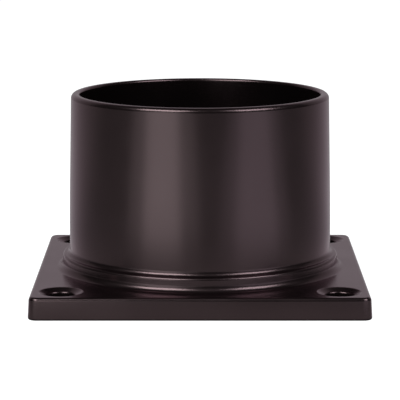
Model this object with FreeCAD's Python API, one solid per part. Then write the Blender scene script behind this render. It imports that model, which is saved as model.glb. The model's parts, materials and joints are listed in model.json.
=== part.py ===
"""Pier mount base: one die casting, a square plate with a round collar for a post fitter.

Millimetres, +Z up. The origin is the centre of the plate's underside, on the axis of the collar.
"""
import FreeCAD, Part
import math
import os

# Collar: a straight land at the foot centres the post fitter, and a long drafted wall rises from it
OVERALL_HEIGHT = 57.15
COLLAR_DIAMETER = 76.2
COLLAR_WALL = 2.5
COLLAR_LAND_HEIGHT = 7.0
COLLAR_DRAFT_DEG = 1.2
LAND_BLEND_RADIUS = 400.0
RIM_FLAT = 0.8
RIM_INNER_CHAMFER = 0.3

# Stepped ring that the collar grows from, read upwards from the plate and inwards to the collar
RING_FOOT_RADIUS = 2.0
RING_WALL_HEIGHT = 1.8
RING_EDGE_CHAMFER = 0.3
RING_LEDGE = 0.25
COLLAR_FOOT_RADIUS = 1.5

# Plate: the margin runs from the foot of the ring to the plate's side, at the underside
PLATE_MARGIN = 5.1
PLATE_THICKNESS = 6.35
PLATE_DRAFT_DEG = 3.0
PLATE_CORNER_RADIUS = 2.5
PLATE_TOP_EDGE_RADIUS = 1.0
PLATE_BOTTOM_CHAMFER = 0.4

# Screw holes, each in a shallow dish with soft edges
HOLE_EDGE_DISTANCE = 8.75
HOLE_DIAMETER = 7.9
HOLE_EDGE_CHAMFER = 0.3
DISH_DIAMETER = 12.4
DISH_DEPTH = 1.0
DISH_LIP_RADIUS = 1.2

# Underside: the casting is cored out between the skirt, the screw bosses and the bore
SKIN_THICKNESS = 3.2
SKIRT_WIDTH = 3.0
BOSS_WALL = 3.05
CORE_DRAFT_DEG = 3.0
CORE_CORNER_RADIUS = 1.5

# How far a cutting tool runs past the faces that it opens
TOOL_OVERRUN = 2.0

# Radii, heights and widths that follow from the sizes above
COLLAR_RADIUS = COLLAR_DIAMETER / 2
RIM_OUTER_RADIUS = COLLAR_WALL - RIM_FLAT - RIM_INNER_CHAMFER
RING_RADIUS = COLLAR_RADIUS + COLLAR_FOOT_RADIUS + RING_LEDGE + RING_EDGE_CHAMFER
RING_TOP = PLATE_THICKNESS + RING_FOOT_RADIUS + RING_WALL_HEIGHT + RING_EDGE_CHAMFER
LAND_TOP = RING_TOP + COLLAR_FOOT_RADIUS + COLLAR_LAND_HEIGHT
PLATE_WIDTH = 2 * (RING_RADIUS + RING_FOOT_RADIUS + PLATE_MARGIN)
HOLE_OFFSET = PLATE_WIDTH / 2 - HOLE_EDGE_DISTANCE
BOSS_RADIUS = HOLE_DIAMETER / 2 + BOSS_WALL

AXIS = FreeCAD.Vector(0, 0, 1)
ORIGIN = FreeCAD.Vector(0, 0, 0)


def tan_deg(angle):
    return math.tan(math.radians(angle))


def point(radius, height):
    """A point of a section that is turned about the collar's axis."""
    return FreeCAD.Vector(radius, 0, height)


def turned_arc(centre, radius, start_deg, end_deg):
    """An arc of a turned section, from one direction to another, counted up from the outward one."""
    places = []
    for angle in (start_deg, (start_deg + end_deg) / 2, end_deg):
        turn = math.radians(angle)
        places.append(centre + point(radius * math.cos(turn), radius * math.sin(turn)))
    return Part.Arc(*places).toShape()


def turned_fillet(centre, radius, start_deg, end_deg):
    """The arc of a full fillet in two halves, which mesh with far fewer facets than one long arc."""
    middle_deg = (start_deg + end_deg) / 2
    return [
        turned_arc(centre, radius, start_deg, middle_deg),
        turned_arc(centre, radius, middle_deg, end_deg),
    ]


def turned_solid(pieces, centre=ORIGIN):
    """Joins the arcs in order with straight lines, closes the outline and turns it about the axis.

    A piece is a single point or an arc. Neighbours that already meet get no line.
    """
    edges = []
    first = None
    last = None
    for piece in pieces:
        is_point = isinstance(piece, FreeCAD.Vector)
        start = piece if is_point else piece.valueAt(piece.FirstParameter)
        end = piece if is_point else piece.valueAt(piece.LastParameter)
        if last is not None and last.distanceToPoint(start) > 1e-7:
            edges.append(Part.makeLine(last, start))
        if not is_point:
            edges.append(piece)
        if first is None:
            first = start
        last = end
    edges.append(Part.makeLine(last, first))
    face = Part.Face(Part.Wire(edges))
    solid = face.revolve(ORIGIN, AXIS, 360)
    solid.translate(centre)
    return solid


def rounded_square(width, corner_radius, height):
    """A square outline with round corners, centred on the axis."""
    half = width / 2
    inner = half - corner_radius
    edges = []
    for quarter in range(4):
        turn = FreeCAD.Rotation(AXIS, 90 * quarter)
        side_start = turn.multVec(FreeCAD.Vector(half, -inner, height))
        side_end = turn.multVec(FreeCAD.Vector(half, inner, height))
        centre = FreeCAD.Vector(inner, inner, height)
        diagonal = corner_radius / math.sqrt(2)
        corner_middle = turn.multVec(centre + FreeCAD.Vector(diagonal, diagonal, 0))
        corner_end = turn.multVec(FreeCAD.Vector(inner, half, height))
        edges.append(Part.makeLine(side_start, side_end))
        edges.append(Part.Arc(side_end, corner_middle, corner_end).toShape())
    return Part.Wire(edges)


def drafted_block(width, corner_radius, low, high, draft_deg):
    """A square block with round corners whose sides lean in as they rise."""
    lean = (high - low) * tan_deg(draft_deg)
    bottom = rounded_square(width, corner_radius, low)
    top = rounded_square(width - 2 * lean, corner_radius - lean, high)
    return Part.makeLoft([bottom, top], True, True)


def edges_at(shape, height, tolerance=1e-6):
    """The edges that lie flat at one height."""
    found = []
    for edge in shape.Edges:
        box = edge.BoundBox
        if abs(box.ZMin - height) < tolerance and abs(box.ZMax - height) < tolerance:
            found.append(edge)
    return found


def plate():
    """The square plate, with a soft edge above and a broken edge below."""
    block = drafted_block(PLATE_WIDTH, PLATE_CORNER_RADIUS, 0, PLATE_THICKNESS, PLATE_DRAFT_DEG)
    block = block.makeFillet(PLATE_TOP_EDGE_RADIUS, edges_at(block, PLATE_THICKNESS))
    return block.makeChamfer(PLATE_BOTTOM_CHAMFER, edges_at(block, 0))


def taper_start():
    """Radius and height where the drafted wall begins, at the end of the large blending arc."""
    turn = math.radians(COLLAR_DRAFT_DEG)
    radius = COLLAR_RADIUS - LAND_BLEND_RADIUS * (1 - math.cos(turn))
    height = LAND_TOP + LAND_BLEND_RADIUS * math.sin(turn)
    return radius, height


def outer_radius(height):
    """The drafted wall's outside radius, carried on as a straight cone at any height."""
    radius, start = taper_start()
    return radius - (height - start) * tan_deg(COLLAR_DRAFT_DEG)


def bore_radius(height):
    """The bore keeps the collar's wall even, so it leans as the drafted wall does."""
    return outer_radius(height) - COLLAR_WALL / math.cos(math.radians(COLLAR_DRAFT_DEG))


def collar_blank():
    """The collar and its ring, still solid inside."""
    low = PLATE_THICKNESS - SKIN_THICKNESS
    foot_reach = RING_RADIUS + RING_FOOT_RADIUS
    foot_centre = point(foot_reach, PLATE_THICKNESS + RING_FOOT_RADIUS)
    ring_foot = turned_fillet(foot_centre, RING_FOOT_RADIUS, -90, -180)
    ring_edge = [
        point(RING_RADIUS, RING_TOP - RING_EDGE_CHAMFER),
        point(RING_RADIUS - RING_EDGE_CHAMFER, RING_TOP),
    ]
    collar_centre = point(COLLAR_RADIUS + COLLAR_FOOT_RADIUS, RING_TOP + COLLAR_FOOT_RADIUS)
    collar_foot = turned_fillet(collar_centre, COLLAR_FOOT_RADIUS, -90, -180)
    blend_centre = point(COLLAR_RADIUS - LAND_BLEND_RADIUS, LAND_TOP)
    land_blend = turned_arc(blend_centre, LAND_BLEND_RADIUS, 0, COLLAR_DRAFT_DEG)
    rim_height = OVERALL_HEIGHT - RIM_OUTER_RADIUS
    rim_set_in = RIM_OUTER_RADIUS / math.cos(math.radians(COLLAR_DRAFT_DEG))
    rim_centre = point(outer_radius(rim_height) - rim_set_in, rim_height)
    rim = turned_fillet(rim_centre, RIM_OUTER_RADIUS, COLLAR_DRAFT_DEG, 90)
    underside = [point(0, low), point(foot_reach, low)]
    outside = ring_foot + ring_edge + collar_foot + [land_blend] + rim
    return turned_solid(underside + outside + [point(0, OVERALL_HEIGHT)])


def bore_tool():
    """The open way through the collar, with the broken inner edge of the rim."""
    below = -TOOL_OVERRUN
    above = OVERALL_HEIGHT + TOOL_OVERRUN
    chamfer_start = OVERALL_HEIGHT - RIM_INNER_CHAMFER
    rim_radius = bore_radius(chamfer_start)
    return turned_solid(
        [
            point(0, below),
            point(bore_radius(below), below),
            point(rim_radius, chamfer_start),
            point(rim_radius + RIM_INNER_CHAMFER, OVERALL_HEIGHT),
            point(rim_radius + RIM_INNER_CHAMFER, above),
            point(0, above),
        ]
    )


def hole_places():
    """The centres of the four screw holes, on the underside."""
    sides = (-HOLE_OFFSET, HOLE_OFFSET)
    return [FreeCAD.Vector(x, y, 0) for x in sides for y in sides]


def hole_tool(place):
    """A through hole under a shallow dish: a soft lip, a sloping wall and a broken edge at the hole."""
    hole = HOLE_DIAMETER / 2
    dish = DISH_DIAMETER / 2
    slope = math.degrees(math.atan2(DISH_DEPTH, dish - hole))
    lip_start = dish + DISH_LIP_RADIUS * tan_deg(slope / 2)
    lip_centre = point(lip_start, PLATE_THICKNESS - DISH_LIP_RADIUS)
    lip = turned_arc(lip_centre, DISH_LIP_RADIUS, 90, 90 + slope)
    dish_bottom = PLATE_THICKNESS - DISH_DEPTH
    edge_start = point(hole + HOLE_EDGE_CHAMFER, dish_bottom + HOLE_EDGE_CHAMFER * tan_deg(slope))
    edge_end = point(hole, dish_bottom - HOLE_EDGE_CHAMFER)
    above = PLATE_THICKNESS + TOOL_OVERRUN
    below = -TOOL_OVERRUN
    inside = [point(hole, below), point(0, below)]
    return turned_solid([point(0, above), point(lip_start, above), lip, edge_start, edge_end] + inside, place)


def bosses(low, high):
    """Four screw bosses, each round towards the bore and run out square into the corner of the skirt."""
    centre = FreeCAD.Vector(HOLE_OFFSET, HOLE_OFFSET, low)
    height = high - low
    length = BOSS_RADIUS + HOLE_EDGE_DISTANCE
    back_x = FreeCAD.Vector(BOSS_RADIUS, 0, 0)
    back_y = FreeCAD.Vector(0, BOSS_RADIUS, 0)
    round_side = Part.makeCylinder(BOSS_RADIUS, height, centre)
    web_x = Part.makeBox(length, HOLE_EDGE_DISTANCE, height, centre - back_x)
    web_y = Part.makeBox(HOLE_EDGE_DISTANCE, length, height, centre - back_y)
    boss = round_side.fuse([web_x, web_y])
    return [boss.rotated(ORIGIN, AXIS, 90 * quarter) for quarter in range(4)]


def core_tool():
    """The hollow under the plate, with the four screw bosses left standing in its corners."""
    depth = PLATE_THICKNESS - SKIN_THICKNESS
    width = PLATE_WIDTH - 2 * SKIRT_WIDTH
    core = drafted_block(width, CORE_CORNER_RADIUS, 0, depth, CORE_DRAFT_DEG)
    mouth = drafted_block(width, CORE_CORNER_RADIUS, -TOOL_OVERRUN, 0, 0)
    return core.fuse(mouth).cut(bosses(-2 * TOOL_OVERRUN, depth + TOOL_OVERRUN))


def base_casting():
    """The whole base, which is cast in one piece."""
    body = plate().fuse(collar_blank())
    body = body.cut([core_tool(), bore_tool()])
    return body.cut([hole_tool(place) for place in hole_places()])


def write_part(name, shape):
    """Writes one sub-part and prints what it is made of."""
    print(name, "solids", len(shape.Solids), "valid", shape.isValid(), "volume", round(shape.Volume, 1))
    shape.exportStep("parts/" + name + ".step")


os.makedirs("parts", exist_ok=True)
write_part("base_casting", base_casting())
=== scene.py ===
"""Dresses the pier mount base: one bronze painted casting on a plain white floor."""

import json
import math

import bmesh
import bpy
from mathutils import Matrix, Quaternion, Vector


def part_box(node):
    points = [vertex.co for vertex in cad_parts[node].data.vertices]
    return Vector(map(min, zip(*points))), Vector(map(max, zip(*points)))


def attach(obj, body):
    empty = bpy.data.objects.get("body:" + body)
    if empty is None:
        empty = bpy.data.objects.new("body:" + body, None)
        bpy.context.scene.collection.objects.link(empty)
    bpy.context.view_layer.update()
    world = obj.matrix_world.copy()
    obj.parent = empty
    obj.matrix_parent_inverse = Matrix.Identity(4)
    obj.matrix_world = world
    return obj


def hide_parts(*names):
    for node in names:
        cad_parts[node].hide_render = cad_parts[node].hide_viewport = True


bl_info = {
    "name": "Pier Mount Base",
    "version": (1, 0, 0),
    "blender": (4, 5, 0),
    "location": "3D View > Sidebar > Mount Base",
    "description": "Models the cast mount base, its paint and a plain studio around it",
    "category": "Add Mesh",
}

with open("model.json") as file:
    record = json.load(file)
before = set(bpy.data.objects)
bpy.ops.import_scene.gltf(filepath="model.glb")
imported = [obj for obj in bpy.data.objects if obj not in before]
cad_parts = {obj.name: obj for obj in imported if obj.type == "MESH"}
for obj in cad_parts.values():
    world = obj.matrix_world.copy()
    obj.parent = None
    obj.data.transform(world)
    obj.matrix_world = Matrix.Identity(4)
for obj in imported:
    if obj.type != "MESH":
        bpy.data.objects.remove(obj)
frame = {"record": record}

NODE = "base_casting"
BODY = "root"

MM = 0.001

# How finely the round shapes are turned and the edges are rounded
ROUND_STEPS = 192
HOLE_STEPS = 64
CURVE_SEGMENTS = 6
CORNER_SEGMENTS = 10
FOOT_SEGMENTS = 3
BOSS_SEGMENTS = 16

# How far a cut runs past the face that it opens
OVERRUN = 2 * MM

# How far the ring's foot and a dish's lip go on over the plate's flat top. The lip's curve starts within it.
SEAM = 0.5 * MM

# Radius of the upright corners of the hollow under the plate
HOLLOW_CORNER = 1.5 * MM

# Limits for a turned shape: points this close are one point, and an edge this short is none
SAME_POINT = 1e-7
NO_LENGTH = 1e-8

# An edge of a block that rises by more than this is an upright one
RISE = 0.1 * MM

# After the cuts, points this close become one point, and faces that meet at less than this angle one face
SPECK = 0.001 * MM
FLAT = math.radians(0.05)

# Shading: edges beyond this angle stay sharp, and the large flat faces set the normals beside them
SHARP_ANGLE = math.radians(32)
FACE_WEIGHT = 100

# The paint's uneven places and its grain
CLOUD_SIZE = 22 * MM
CLOUD_DETAIL = 3.0
CLOUD_RANGE = (0.35, 0.65)
GRAIN_SIZE = 0.45 * MM
GRAIN_DETAIL = 2.0

# The floor and the backdrop, in metres
FLOOR_SIDE = 6.0
BACKDROP_DISTANCE = 1.3
BACKDROP_HEIGHT = 1.6

# Where the floor's part in the gloss changes: a painted glow around the object, a rise from the object back,
# and a painted contact shade close to the plate
PAINTED_GLOW_REACH = (70 * MM, 120 * MM)
BACK_REACH = 150 * MM
PAINTED_SHADE_REACH = 4 * MM

# The camera's sensor, in millimetres
SENSOR_WIDTH = 36.0

# Each soft lamp: name, azimuth, elevation, distance, how far it leans back, width, height, brightness and
# colour. Angles are in degrees and lengths in metres. Each low lamp has a narrow bright core in front of it.
LAMPS = (
    ("low left lamp", -29, 14.7, 0.168, 49, 0.150, 0.205, 0.75, (0.88, 1.0, 1.0)),
    ("low left core", -29, 14.7, 0.166, 49, 0.072, 0.205, 1.72, (0.88, 1.0, 1.0)),
    ("low right lamp", 44.5, 8.2, 0.161, 67, 0.150, 0.180, 0.50, (0.84, 0.90, 1.0)),
    ("low right core", 44, 8.2, 0.159, 67, 0.084, 0.180, 0.85, (0.84, 0.90, 1.0)),
    ("high left lamp", -40, 49, 1.2, 0, 0.70, 0.50, 13.5, (0.90, 1.0, 1.0)),
    ("high right lamp", 56, 46, 1.2, 0, 0.60, 0.50, 10.5, (0.88, 0.96, 1.0)),
)

MOUNT_DIMS = {mount["name"]: mount["dims"] for mount in frame["record"]["mounts"]}
COLLAR_DIMS = MOUNT_DIMS["collar_outside"]
HOLE_DIMS = MOUNT_DIMS["screw_holes"]
BOX_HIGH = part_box(NODE)[1]


def length(name, description, default):
    """A size in metres that the sidebar shows in the scene's units."""
    return bpy.props.FloatProperty(
        name=name, description=description, default=default, min=0.0, precision=5, unit="LENGTH"
    )


def angle(name, description, degrees):
    """An angle, given in degrees and kept in radians."""
    return bpy.props.FloatProperty(
        name=name, description=description, default=math.radians(degrees), min=0.0, subtype="ANGLE"
    )


def amount(name, description, default):
    """A plain number from 0 to 1."""
    return bpy.props.FloatProperty(
        name=name, description=description, default=default, min=0.0, max=1.0, precision=3, subtype="FACTOR"
    )


def colour(name, description, default):
    """A linear colour."""
    return bpy.props.FloatVectorProperty(
        name=name, description=description, default=default, size=3, min=0.0, max=1.0, subtype="COLOR"
    )


class CastingSizes(bpy.types.PropertyGroup):
    """Sizes of the casting, with those that the frame gives taken from it."""

    height: length("Height", "From the underside to the rim", BOX_HIGH.z)
    plate_width: length("Plate width", "Across the plate's flat sides, at its foot", 94.5 * MM)
    plate_thickness: length("Plate thickness", "From the underside to the plate's top", 6.35 * MM)
    plate_draft: angle("Plate draft", "Lean of the plate's sides", 3.0)
    plate_corner: length("Plate corner", "Radius of the plate's upright corners", 2.5 * MM)
    plate_top_edge: length("Plate top edge", "Radius of the soft edge around the top", 1.0 * MM)
    plate_foot_edge: length("Plate foot edge", "Radius of the edge around the foot", 0.6 * MM)
    skin: length("Skin", "Thickness of the plate over its hollow", 3.2 * MM)
    skirt: length("Skirt", "Width of the rim around the hollow", 3.0 * MM)
    collar_radius: length("Collar radius", "Outside radius of the straight land", COLLAR_DIMS["r_mm"] * MM)
    collar_land: length("Collar land", "Height of the straight land", COLLAR_DIMS["length_mm"] * MM)
    collar_draft: angle("Collar draft", "Lean of the wall above the land", 1.2)
    collar_wall: length("Collar wall", "Thickness of the collar's wall", 2.5 * MM)
    land_blend: length("Land blend", "Radius of the long curve above the land", 400 * MM)
    rim_radius: length("Rim radius", "Radius of the rim's outer edge", 1.4 * MM)
    rim_inner_radius: length("Rim inner radius", "Radius of the rim's inner edge", 0.8 * MM)
    ring_radius: length("Ring radius", "Outside radius of the ring", 40.15 * MM)
    ring_top: length("Ring top", "Height of the ring's ledge", 10.45 * MM)
    ring_foot: length("Ring foot", "Radius of the curve from the plate into the ring", 2.0 * MM)
    ring_edge: length("Ring edge", "Radius of the ring's upper edge", 0.8 * MM)
    collar_foot: length("Collar foot", "Radius of the curve from the ring into the collar", 1.5 * MM)
    hole_spacing: length("Hole spacing", "Between holes, along a side", HOLE_DIMS["spacing_x_mm"] * MM)
    hole_radius: length("Hole radius", "Radius of the screw holes", HOLE_DIMS["hole_r_mm"] * MM)
    hole_edge: length("Hole edge", "Radius of the edge down into the hole", 0.5 * MM)
    dish_radius: length("Dish radius", "Radius of the dish around each hole", 6.2 * MM)
    dish_depth: length("Dish depth", "Depth of the dish at the hole", 1.0 * MM)
    dish_lip: length("Dish lip", "Radius of the dish's soft lip", 1.2 * MM)
    boss_wall: length("Boss wall", "Metal around each screw hole, underneath", 3.05 * MM)


class PaintLook(bpy.types.PropertyGroup):
    """The dark bronze paint."""

    bronze: colour("Bronze", "Main colour of the paint", (0.0435, 0.0284, 0.0297))
    bronze_thin: colour("Thin bronze", "Colour where the paint lies thinner", (0.0475, 0.0311, 0.0325))
    edge_tint: colour("Edge tint", "Tint of what the paint mirrors at a low angle", (1.0, 0.85, 0.91))
    metallic: amount("Metallic", "How much of the light the metal flakes mirror in the paint's colour", 0.96)
    roughness: amount("Roughness", "Roughness of the satin paint", 0.24)
    mottle: amount("Mottle", "How much the gloss changes from place to place", 0.03)
    grain_height: length("Grain height", "Height of the paint's fine grain", 0.012 * MM)


class StudioLook(bpy.types.PropertyGroup):
    """Camera, lamps and background."""

    lens: bpy.props.FloatProperty(
        name="Lens", description="Focal length at a 36 mm sensor, in millimetres", default=192.15, min=1.0
    )
    camera_distance: length("Camera distance", "In front of the collar's axis", 615.8 * MM)
    camera_height: length("Camera height", "Above the floor", 131.9 * MM)
    camera_pitch: angle("Camera pitch", "How far the camera looks down", 9.81)
    white: amount("White", "Brightness of the background that the camera sees", 1.0)
    floor_glow: amount("Floor glow", "The part of the floor's white that no shadow takes away", 0.95)
    # A painted glow on the floor around the object, which only the gloss sees
    painted_glow_near: amount("Floor near, in the gloss", "What the floor beside the object adds", 0.30)
    front_mirrored: amount("Floor in front, in the gloss", "Brightness of the floor in front", 0.14)
    back_mirrored: amount("Background in the gloss", "Brightness of the floor and the backdrop behind", 0.35)
    ground: colour("Ground", "Colour of the floor and the backdrop", (0.25, 0.25, 0.25))
    ambient: amount("Ambient", "Light from all around", 0.06)


def soften(mesh, geometry, reach, segments, affect="EDGES"):
    """Rounds edges or single corners to a circle's arc. The reach is how far from them the arc starts."""
    bmesh.ops.bevel(
        mesh, geom=geometry, offset=reach, affect=affect, segments=segments, profile=0.5, material=-1
    )


def tangent_length(points, index, radius):
    """How far a round corner reaches along its two sides."""
    corner = Vector(points[index])
    before = (Vector(points[index - 1]) - corner).normalized()
    after = (Vector(points[(index + 1) % len(points)]) - corner).normalized()
    return radius / math.tan(before.angle(after) / 2)


def outline_mesh(corners):
    """A closed outline in the XZ plane. Each corner is a radius from the axis, a height and its rounding."""
    mesh = bmesh.new()
    points = [corner[:2] for corner in corners]
    verts = [mesh.verts.new((radius, 0, height)) for radius, height in points]
    for start, end in zip(verts, verts[1:] + verts[:1]):
        mesh.edges.new((start, end))
    for index, (vert, corner) in enumerate(zip(verts, corners)):
        if corner[2] > 0:
            reach = tangent_length(points, index, corner[2])
            soften(mesh, [vert], reach, CURVE_SEGMENTS, affect="VERTICES")
    return mesh


def turned(corners, steps):
    """A closed outline turned once about the collar's axis."""
    mesh = outline_mesh(corners)
    bmesh.ops.spin(
        mesh,
        geom=mesh.verts[:] + mesh.edges[:],
        cent=(0, 0, 0),
        axis=(0, 0, 1),
        angle=math.tau,
        steps=steps,
        use_merge=True,
    )
    bmesh.ops.remove_doubles(mesh, verts=mesh.verts[:], dist=SAME_POINT)
    bmesh.ops.dissolve_degenerate(mesh, edges=mesh.edges[:], dist=NO_LENGTH)
    bmesh.ops.recalc_face_normals(mesh, faces=mesh.faces[:])
    return mesh


def flat_edges(mesh, height):
    """The edges that lie at one height."""
    return [e for e in mesh.edges if all(abs(v.co.z - height) < SAME_POINT for v in e.verts)]


def upright_edges(mesh):
    """The edges that join the low end of a block to its high end."""
    return [e for e in mesh.edges if abs(e.verts[0].co.z - e.verts[1].co.z) > RISE]


def drafted_block(width_at_zero, low, high, draft, corner):
    """A square block whose sides lean in as they rise, with round upright corners."""
    mesh = bmesh.new()
    bmesh.ops.create_cube(mesh, size=1.0)
    for vert in mesh.verts:
        height = high if vert.co.z > 0 else low
        width = width_at_zero - 2 * height * math.tan(draft)
        vert.co = Vector((vert.co.x * width, vert.co.y * width, height))
    soften(mesh, upright_edges(mesh), corner, CORNER_SEGMENTS)
    return mesh


def to_object(mesh, name):
    """Puts a mesh into the scene as an object at the origin."""
    data = bpy.data.meshes.new(name)
    mesh.to_mesh(data)
    mesh.free()
    made = bpy.data.objects.new(name, data)
    bpy.context.collection.objects.link(made)
    return made


def combine(target, tool, operation):
    """Joins the tool to the target or cuts it out, and keeps the result as the target's own mesh."""
    step = target.modifiers.new("Step", "BOOLEAN")
    step.operation = operation
    step.solver = "EXACT"
    step.object = tool
    depsgraph = bpy.context.evaluated_depsgraph_get()
    result = bpy.data.meshes.new_from_object(target.evaluated_get(depsgraph))
    target.modifiers.clear()
    target.data = result
    bpy.data.objects.remove(tool, do_unlink=True)
    if not result.polygons:
        raise RuntimeError("nothing is left of the casting after a " + operation.lower())


def wall_radius(sizes, height):
    """Outside radius of the drafted wall, carried on as a straight cone at any height."""
    land_top = sizes.ring_top + sizes.collar_foot + sizes.collar_land
    start = land_top + sizes.land_blend * math.sin(sizes.collar_draft)
    radius = sizes.collar_radius - sizes.land_blend * (1 - math.cos(sizes.collar_draft))
    return radius - (height - start) * math.tan(sizes.collar_draft)


def bore_radius(sizes, height):
    """Inside radius of the collar, whose wall is even."""
    return wall_radius(sizes, height) - sizes.collar_wall / math.cos(sizes.collar_draft)


def plate(sizes):
    """The square plate with its soft edges."""
    mesh = drafted_block(sizes.plate_width, 0, sizes.plate_thickness, sizes.plate_draft, sizes.plate_corner)
    soften(mesh, flat_edges(mesh, sizes.plate_thickness), sizes.plate_top_edge, CURVE_SEGMENTS)
    soften(mesh, flat_edges(mesh, 0), sizes.plate_foot_edge, FOOT_SEGMENTS)
    return mesh


def plate_hollow(sizes):
    """The hollow under the plate, around the four bosses."""
    width = sizes.plate_width - 2 * sizes.skirt
    depth = sizes.plate_thickness - sizes.skin
    hollow = to_object(drafted_block(width, -OVERRUN, depth, sizes.plate_draft, HOLLOW_CORNER), "hollow")
    for centre in hole_centres(sizes):
        combine(hollow, to_object(screw_boss(sizes, centre), "boss"), "DIFFERENCE")
    return hollow


def collar(sizes):
    """The collar and its stepped ring, down to the underside of the plate's skin."""
    low = sizes.plate_thickness - sizes.skin
    foot = sizes.ring_radius + sizes.ring_foot + SEAM
    bend_height = sizes.ring_top + sizes.collar_foot + sizes.collar_land
    bend_height += sizes.land_blend * math.tan(sizes.collar_draft / 2)
    corners = [
        (bore_radius(sizes, low), low, 0),
        (foot, low, 0),
        (foot, sizes.plate_thickness, 0),
        (sizes.ring_radius, sizes.plate_thickness, sizes.ring_foot),
        (sizes.ring_radius, sizes.ring_top, sizes.ring_edge),
        (sizes.collar_radius, sizes.ring_top, sizes.collar_foot),
        (sizes.collar_radius, bend_height, sizes.land_blend),
        (wall_radius(sizes, sizes.height), sizes.height, sizes.rim_radius),
        (bore_radius(sizes, sizes.height), sizes.height, sizes.rim_inner_radius),
    ]
    return turned(corners, ROUND_STEPS)


def centre_cut(sizes):
    """Opens the plate inside the ring."""
    radius = (bore_radius(sizes, 0) + sizes.ring_radius + sizes.ring_foot) / 2
    top = sizes.plate_thickness + OVERRUN
    return turned([(0, -OVERRUN, 0), (radius, -OVERRUN, 0), (radius, top, 0), (0, top, 0)], ROUND_STEPS)


def hole_centres(sizes):
    """The four screw holes."""
    half = sizes.hole_spacing / 2
    return [Vector((x, y, 0)) for x in (-half, half) for y in (-half, half)]


def hole_cut(sizes, centre):
    """A screw hole under its shallow dish."""
    top = sizes.plate_thickness
    lip = sizes.dish_radius + SEAM
    corners = [
        (0, top + OVERRUN, 0),
        (lip, top + OVERRUN, 0),
        (lip, top, 0),
        (sizes.dish_radius, top, sizes.dish_lip),
        (sizes.hole_radius, top - sizes.dish_depth, sizes.hole_edge),
        (sizes.hole_radius, -OVERRUN, 0),
        (0, -OVERRUN, 0),
    ]
    mesh = turned(corners, HOLE_STEPS)
    bmesh.ops.translate(mesh, verts=mesh.verts[:], vec=centre)
    return mesh


def screw_boss(sizes, centre):
    """The block that stays as a boss around a screw hole: round towards the bore, square into the skirt."""
    radius = sizes.hole_radius + sizes.boss_wall
    near = sizes.hole_spacing / 2 - radius
    far = sizes.plate_width / 2
    mesh = bmesh.new()
    bmesh.ops.create_cube(mesh, size=1.0)
    for vert in mesh.verts:
        vert.co.x = math.copysign(near if vert.co.x < 0 else far, centre.x)
        vert.co.y = math.copysign(near if vert.co.y < 0 else far, centre.y)
        vert.co.z = -2 * OVERRUN if vert.co.z < 0 else sizes.plate_thickness
    inner = [e for e in upright_edges(mesh) if abs(e.verts[0].co.x) < abs(centre.x)]
    inner = [e for e in inner if abs(e.verts[0].co.y) < abs(centre.y)]
    # A mirrored block is inside out until here, and the rounding needs its faces to point outwards
    bmesh.ops.recalc_face_normals(mesh, faces=mesh.faces[:])
    soften(mesh, inner, radius, BOSS_SEGMENTS)
    return mesh


def tidy_up(piece):
    """Merges the specks and the split flat faces that the cuts leave."""
    mesh = bmesh.new()
    mesh.from_mesh(piece.data)
    bmesh.ops.remove_doubles(mesh, verts=mesh.verts[:], dist=SPECK)
    bmesh.ops.dissolve_limit(
        mesh,
        angle_limit=FLAT,
        use_dissolve_boundaries=False,
        verts=mesh.verts[:],
        edges=mesh.edges[:],
        delimit=set(),
    )
    bmesh.ops.recalc_face_normals(mesh, faces=mesh.faces[:])
    mesh.to_mesh(piece.data)
    mesh.free()


def casting(sizes):
    """The whole base in one skin."""
    piece = to_object(plate(sizes), "mount_base")
    combine(piece, plate_hollow(sizes), "DIFFERENCE")
    combine(piece, to_object(centre_cut(sizes), "centre"), "DIFFERENCE")
    combine(piece, to_object(collar(sizes), "collar"), "UNION")
    for centre in hole_centres(sizes):
        combine(piece, to_object(hole_cut(sizes, centre), "hole"), "DIFFERENCE")
    tidy_up(piece)
    piece.data.shade_smooth()
    piece.data.set_sharp_from_angle(angle=SHARP_ANGLE)
    shading = piece.modifiers.new("Flat faces stay flat", "WEIGHTED_NORMAL")
    shading.keep_sharp = True
    shading.weight = FACE_WEIGHT
    return piece


class Socket:
    """An output of a node that takes part in sums."""

    def __init__(self, material, socket):
        self.material = material
        self.socket = socket

    def __add__(self, other):
        return self.material.combined("ADD", self, other)

    def __sub__(self, other):
        return self.material.combined("SUBTRACT", self, other)

    def __rsub__(self, other):
        return self.material.combined("SUBTRACT", other, self)

    def __mul__(self, other):
        return self.material.combined("MULTIPLY", self, other)

    def __abs__(self):
        return self.material.combined("ABSOLUTE", self, 0.0)

    __radd__ = __add__
    __rmul__ = __mul__


class NodeMaterial:
    """A material or a world whose nodes are made by one method."""

    def __init__(self, owner):
        self.owner = owner
        owner.use_nodes = True
        self.tree = owner.node_tree
        self.tree.nodes.clear()

    def node(self, kind, settings, inputs, output=0):
        """Makes a node. Its settings come first, then the values or links of its sockets."""
        made = self.tree.nodes.new(kind)
        for key, value in settings.items():
            setattr(made, key, value)
        for key, value in inputs.items():
            if isinstance(value, Socket):
                self.tree.links.new(value.socket, made.inputs[key])
            else:
                made.inputs[key].default_value = value
        return Socket(self, made.outputs[output]) if made.outputs else None

    def combined(self, operation, first, second):
        """A Math node on two sockets or plain numbers."""
        return self.node("ShaderNodeMath", {"operation": operation}, {0: first, 1: second})

    def blend_colour(self, factor, first, second):
        """Mixes two colours. This node takes them at sockets 6 and 7 and gives the result at socket 2."""
        return self.node("ShaderNodeMix", {"data_type": "RGBA"}, {0: factor, 6: first, 7: second}, output=2)

    def noise(self, place, size, detail):
        """Soft noise whose spots are about as large as the given size."""
        return self.node("ShaderNodeTexNoise", {}, {"Vector": place, "Scale": 1 / size, "Detail": detail})

    def spread(self, value, low, high):
        """Stretches the values between two limits over the whole range from 0 to 1."""
        limits = {"Value": value, "From Min": low, "From Max": high}
        return self.node("ShaderNodeMapRange", {"interpolation_type": "SMOOTHSTEP"}, limits)


def opaque(rgb):
    """A colour with full alpha, as the shaders take it."""
    return (*rgb, 1.0)


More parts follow.
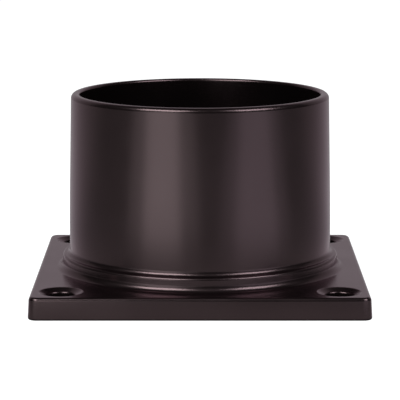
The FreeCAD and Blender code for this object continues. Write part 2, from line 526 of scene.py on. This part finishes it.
def bronze_paint(look):
    """Dark bronze powder coat: satin, with a fine grain and slightly uneven gloss."""
    paint = NodeMaterial(bpy.data.materials.new("Bronze paint"))
    place = paint.node("ShaderNodeTexCoord", {}, {}, output="Object")
    clouds = paint.spread(paint.noise(place, CLOUD_SIZE, CLOUD_DETAIL), *CLOUD_RANGE)
    grain = paint.noise(place, GRAIN_SIZE, GRAIN_DETAIL)
    bump = paint.node(
        "ShaderNodeBump", {}, {"Strength": 1.0, "Distance": look.grain_height, "Height": grain}
    )
    surface = paint.node(
        "ShaderNodeBsdfPrincipled",
        {},
        {
            "Base Color": paint.blend_colour(clouds, opaque(look.bronze), opaque(look.bronze_thin)),
            "Metallic": look.metallic,
            "Specular Tint": opaque(look.edge_tint),
            "Roughness": look.roughness + look.mottle * (clouds - 0.5),
            "Normal": bump,
        },
    )
    paint.node("ShaderNodeOutputMaterial", {}, {"Surface": surface})
    return paint.owner


def glow_for_rays(shader, straight, mirrored):
    """How bright a stage surface glows for the camera, and for the rays that gloss and glass send out."""
    rays = "ShaderNodeLightPath"
    camera = shader.node(rays, {}, {}, output="Is Camera Ray")
    glossy = shader.node(rays, {}, {}, output="Is Glossy Ray")
    glass = shader.node(rays, {}, {}, output="Is Transmission Ray")
    return straight * camera + mirrored * (glossy + glass)


def white_ground(look, name, straight):
    """A white surface that shows white to the camera and keeps the shadow of what stands on it. In the gloss
    it adds a painted glow around the object and a painted contact shade at the plate's foot.
    """
    ground = NodeMaterial(bpy.data.materials.new(name))
    ground.owner.cycles.emission_sampling = "NONE"
    matt = ground.node("ShaderNodeBsdfDiffuse", {}, {"Color": opaque(look.ground)})
    place = ground.node("ShaderNodeTexCoord", {}, {}, output="Object")
    away = ground.node("ShaderNodeVectorMath", {"operation": "LENGTH"}, {0: place}, output="Value")
    across = ground.node("ShaderNodeSeparateXYZ", {}, {0: place}, output="X")
    depth = ground.node("ShaderNodeSeparateXYZ", {}, {0: place}, output="Y")
    from_middle = ground.combined("MAXIMUM", abs(across), abs(depth))
    # Painted contact shade: the floor's part in the gloss fades to nothing within a few millimetres of the
    # plate's foot
    outside_painted_shade = ground.spread(from_middle, BOX_HIGH.x, BOX_HIGH.x + PAINTED_SHADE_REACH)
    behind = ground.spread(depth, 0.0, BACK_REACH)
    # Painted glow: the floor around the object adds a pool of light to the gloss
    painted_glow_nearby = 1.0 - ground.spread(away, *PAINTED_GLOW_REACH)
    mirrored = look.front_mirrored + (look.back_mirrored - look.front_mirrored) * behind
    mirrored = (mirrored + look.painted_glow_near * painted_glow_nearby) * outside_painted_shade
    strength = glow_for_rays(ground, straight, mirrored)
    shine = ground.node("ShaderNodeEmission", {}, {"Color": opaque((1, 1, 1)), "Strength": strength})
    both = ground.node("ShaderNodeAddShader", {}, {0: matt, 1: shine})
    ground.node("ShaderNodeOutputMaterial", {}, {"Surface": both})
    return ground.owner


def white_world(look):
    """White behind the object for the camera, and a low light from all around for the rest."""
    bpy.context.scene.world = bpy.data.worlds.new("Studio")
    world = NodeMaterial(bpy.context.scene.world)
    camera = world.node("ShaderNodeLightPath", {}, {}, output="Is Camera Ray")
    strength = look.ambient + (look.white - look.ambient) * camera
    light = world.node("ShaderNodeBackground", {}, {"Color": opaque((1, 1, 1)), "Strength": strength})
    world.node("ShaderNodeOutputWorld", {}, {"Surface": light})


def sheet_of(name, width, depth, turn, place):
    """A flat rectangle of the stage, scaled from a grid that is one metre wide."""
    mesh = bmesh.new()
    bmesh.ops.create_grid(mesh, x_segments=1, y_segments=1, size=0.5)
    bmesh.ops.scale(mesh, verts=mesh.verts[:], vec=(width, depth, 1))
    bmesh.ops.transform(mesh, verts=mesh.verts[:], matrix=Matrix.Translation(place) @ turn)
    return to_object(mesh, name)


def lamp(name, azimuth, elevation, distance, lean, width, height, brightness, tint):
    """A soft lamp aimed at the object. Azimuth is counted from the camera's side to the right.

    The brightness is that of the lamp's surface, so a larger lamp of the same brightness gives more light.
    """
    data = bpy.data.lights.new(name, "AREA")
    data.shape = "RECTANGLE"
    data.size = width
    data.size_y = height
    data.color = tint
    data.energy = brightness * width * height * math.pi
    turn = math.radians(azimuth)
    rise = math.radians(elevation)
    direction = Vector((math.sin(turn) * math.cos(rise), -math.cos(turn) * math.cos(rise), math.sin(rise)))
    leaned = direction.to_track_quat("Z", "Y") @ Quaternion((1, 0, 0), math.radians(lean))
    made = bpy.data.objects.new(name, data)
    made.location = direction * distance
    made.rotation_euler = leaned.to_euler()
    made.visible_camera = False
    bpy.context.collection.objects.link(made)


def place_camera(scene, look):
    """The camera stands in front of the collar's axis and looks down at it."""
    data = bpy.data.cameras.new("Camera")
    data.sensor_width = SENSOR_WIDTH
    data.lens = look.lens
    camera = bpy.data.objects.new("Camera", data)
    camera.location = (0, -look.camera_distance, look.camera_height)
    camera.rotation_euler = (math.radians(90) - look.camera_pitch, 0, 0)
    scene.collection.objects.link(camera)
    scene.camera = camera


class MOUNTBASE_OT_casting(bpy.types.Operator):
    """Models the cast base in its paint"""

    bl_idname = "mount_base.casting"
    bl_label = "Casting"
    bl_options = {"REGISTER", "UNDO"}

    def execute(self, context):
        piece = casting(context.scene.mount_base_sizes)
        piece.data.materials.clear()
        piece.data.materials.append(bronze_paint(context.scene.mount_base_paint))
        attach(piece, BODY)
        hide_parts(NODE)
        return {"FINISHED"}


class MOUNTBASE_OT_studio(bpy.types.Operator):
    """Sets the floor, the backdrop, the lamps and the camera"""

    bl_idname = "mount_base.studio"
    bl_label = "Studio"
    bl_options = {"REGISTER", "UNDO"}

    def execute(self, context):
        look = context.scene.mount_base_studio
        context.scene.view_settings.view_transform = "Standard"
        white_world(look)
        floor = sheet_of("floor", FLOOR_SIDE, FLOOR_SIDE, Matrix.Identity(4), Vector((0, 0, 0)))
        floor.data.materials.append(white_ground(look, "White floor", look.floor_glow))
        backdrop = sheet_of(
            "backdrop",
            FLOOR_SIDE,
            BACKDROP_HEIGHT,
            Matrix.Rotation(math.radians(90), 4, "X"),
            Vector((0, BACKDROP_DISTANCE, BACKDROP_HEIGHT / 2)),
        )
        backdrop.data.materials.append(white_ground(look, "White backdrop", look.white))
        for settings in LAMPS:
            lamp(*settings)
        place_camera(context.scene, look)
        return {"FINISHED"}


class MOUNTBASE_PT_panel(bpy.types.Panel):
    """The base's sizes, its paint and the studio"""

    bl_label = "Mount Base"
    bl_idname = "MOUNTBASE_PT_panel"
    bl_space_type = "VIEW_3D"
    bl_region_type = "UI"
    bl_category = "Mount Base"

    def draw(self, context):
        for operator, group in PANEL_ROWS:
            box = self.layout.box()
            settings = getattr(context.scene, group)
            for name in settings.bl_rna.properties.keys():
                if name not in ("rna_type", "name"):
                    box.prop(settings, name)
            if operator:
                box.operator(operator)


CLASSES = (
    CastingSizes,
    PaintLook,
    StudioLook,
    MOUNTBASE_OT_casting,
    MOUNTBASE_OT_studio,
    MOUNTBASE_PT_panel,
)
GROUPS = {
    "mount_base_sizes": CastingSizes,
    "mount_base_paint": PaintLook,
    "mount_base_studio": StudioLook,
}
# The panel's boxes: the button of each, if it has one, and its settings
PANEL_ROWS = (
    (None, "mount_base_sizes"),
    ("mount_base.casting", "mount_base_paint"),
    ("mount_base.studio", "mount_base_studio"),
)


def register():
    for made in CLASSES:
        bpy.utils.register_class(made)
    for name, group in GROUPS.items():
        setattr(bpy.types.Scene, name, bpy.props.PointerProperty(type=group))


def unregister():
    for name in GROUPS:
        delattr(bpy.types.Scene, name)
    for made in reversed(CLASSES):
        bpy.utils.unregister_class(made)


def main():
    """Makes the whole scene."""
    register()
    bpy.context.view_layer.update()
    bpy.ops.mount_base.casting()
    bpy.ops.mount_base.studio()


if __name__ == "__main__":
    main()
